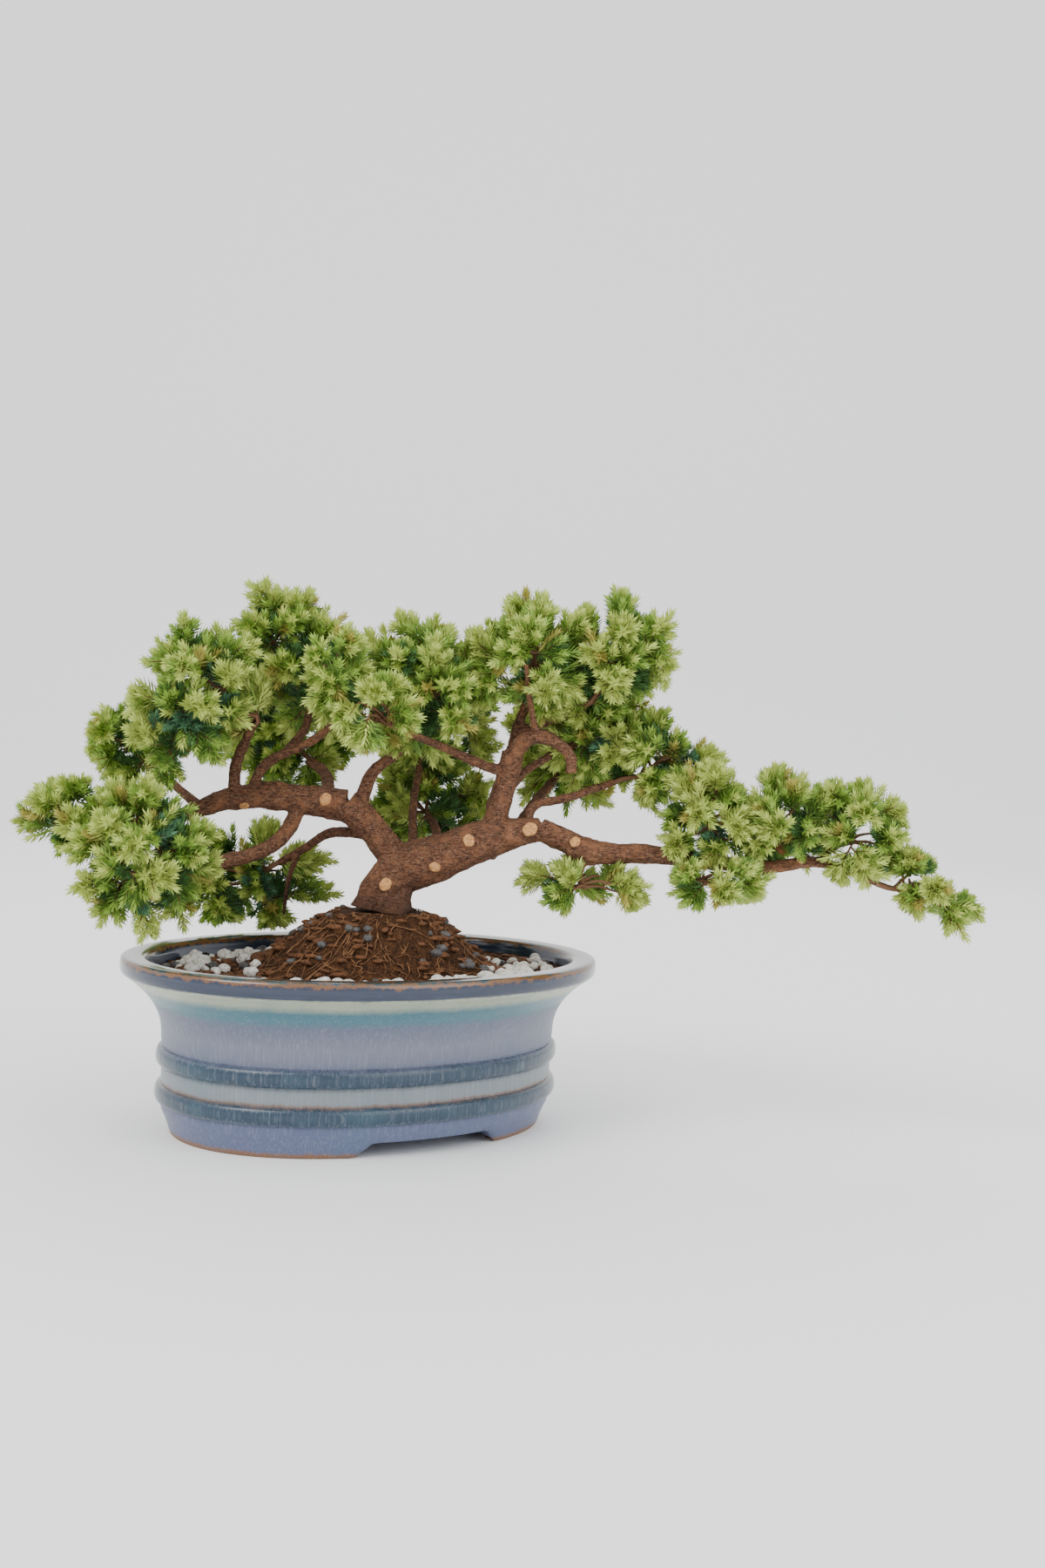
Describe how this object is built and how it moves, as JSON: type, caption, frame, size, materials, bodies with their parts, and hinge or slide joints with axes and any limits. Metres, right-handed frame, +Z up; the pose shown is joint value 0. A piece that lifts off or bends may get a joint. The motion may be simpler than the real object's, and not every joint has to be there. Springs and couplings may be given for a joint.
{
  "type": "juniper bonsai in an oval pot",
  "caption": "Juniper bonsai with a leaning bare trunk, spreading boughs, open masses of needles and a long low arm, on a mound of soil in an oval glazed pot with ridges.",
  "frame": {"origin": "middle of the whole plant's box, on the ground under the pot", "axes": "+X along the crown towards the tip of the long arm, +Y to the back, +Z up"},
  "size_m": [0.3928, 0.1766, 0.223],
  "materials": {
    "glaze": "glossy lip and ridges, satin wall",
    "earth": "rough potting soil",
    "bark": "rough fibrous bark",
    "needles": "waxy needles"
  },
  "bodies": {
    "root": {"arm_twig_a": "bark", "arm_twig_b": "bark", "arm_twig_c": "bark", "burl_twig": "bark", "centre_bough": "bark", "crown_bough": "bark", "crown_bough_right": "bark", "dead_twig": "bark", "far_left_bough": "bark", "foliage_arm_a": "needles", "foliage_arm_b": "needles", "foliage_arm_c": "needles", "foliage_arm_tip": "needles", "foliage_behind_trunk": "needles", "foliage_centre": "needles", "foliage_centre_front": "needles", "foliage_crown_right": "needles", "foliage_crown_right_inner": "needles", "foliage_far_left": "needles", "foliage_front_small": "needles", "foliage_left_back": "needles", "foliage_left_front": "needles", "foliage_left_upper": "needles", "foliage_low_left_back": "needles", "foliage_rear_centre": "needles", "foliage_rear_left": "needles", "foliage_rear_right": "needles", "foliage_right_back": "needles", "foliage_right_middle": "needles", "foliage_under_arm": "needles", "foliage_under_burl": "needles", "foliage_upper_left": "needles", "hanging_twig": "bark", "hook_bough": "bark", "left_arm": "bark", "left_back_bough": "bark", "left_bough": "bark", "left_bough_outer": "bark", "left_riser": "bark", "left_upper_bough": "bark", "low_back_bough": "bark", "lower_arm_twig": "bark", "lower_left_bough": "bark", "pot": "glaze", "rear_centre_bough": "bark", "rear_left_bough": "bark", "rear_right_bough": "bark", "rear_upright": "bark", "right_arm": "bark", "right_arm_outer": "bark", "right_back_bough": "bark", "right_mid_bough": "bark", "soil": "earth", "trunk": "bark", "upper_left_bough": "bark", "upright_bough": "bark"}
  },
  "joints": []
}
